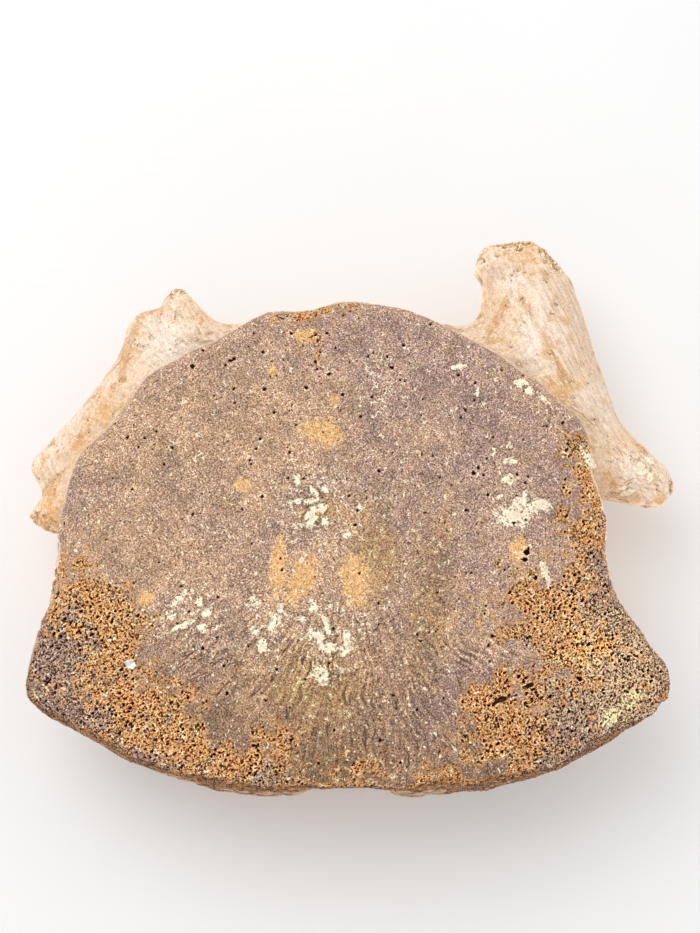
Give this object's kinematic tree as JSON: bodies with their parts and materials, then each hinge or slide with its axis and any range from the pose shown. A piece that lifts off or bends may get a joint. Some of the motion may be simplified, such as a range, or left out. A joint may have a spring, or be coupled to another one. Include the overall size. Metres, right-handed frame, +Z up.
{
  "type": "mammoth neck vertebra",
  "caption": "Broken mammoth neck vertebra lying on its rear face: drum-shaped body with a flat joint face, broken arch stumps and flared lower process roots.",
  "frame": {"origin": "on the floor, under the middle of the bone's outline", "axes": "+Z up out of the front joint face, +Y towards the animal's back (the arch side), +X to the right of the joint face"},
  "size_m": [0.209, 0.185, 0.0641],
  "materials": {
    "joint_face": "matt, grainy, with small dark pores",
    "smooth_bone": "satin, finely striated",
    "spongy_bone": "matt, full of open pores"
  },
  "bodies": {
    "root": {"centrum": "joint_face", "neural_arch_left": "smooth_bone", "neural_arch_right": "smooth_bone", "transverse_root_left": "spongy_bone", "transverse_root_right": "spongy_bone"}
  },
  "joints": []
}
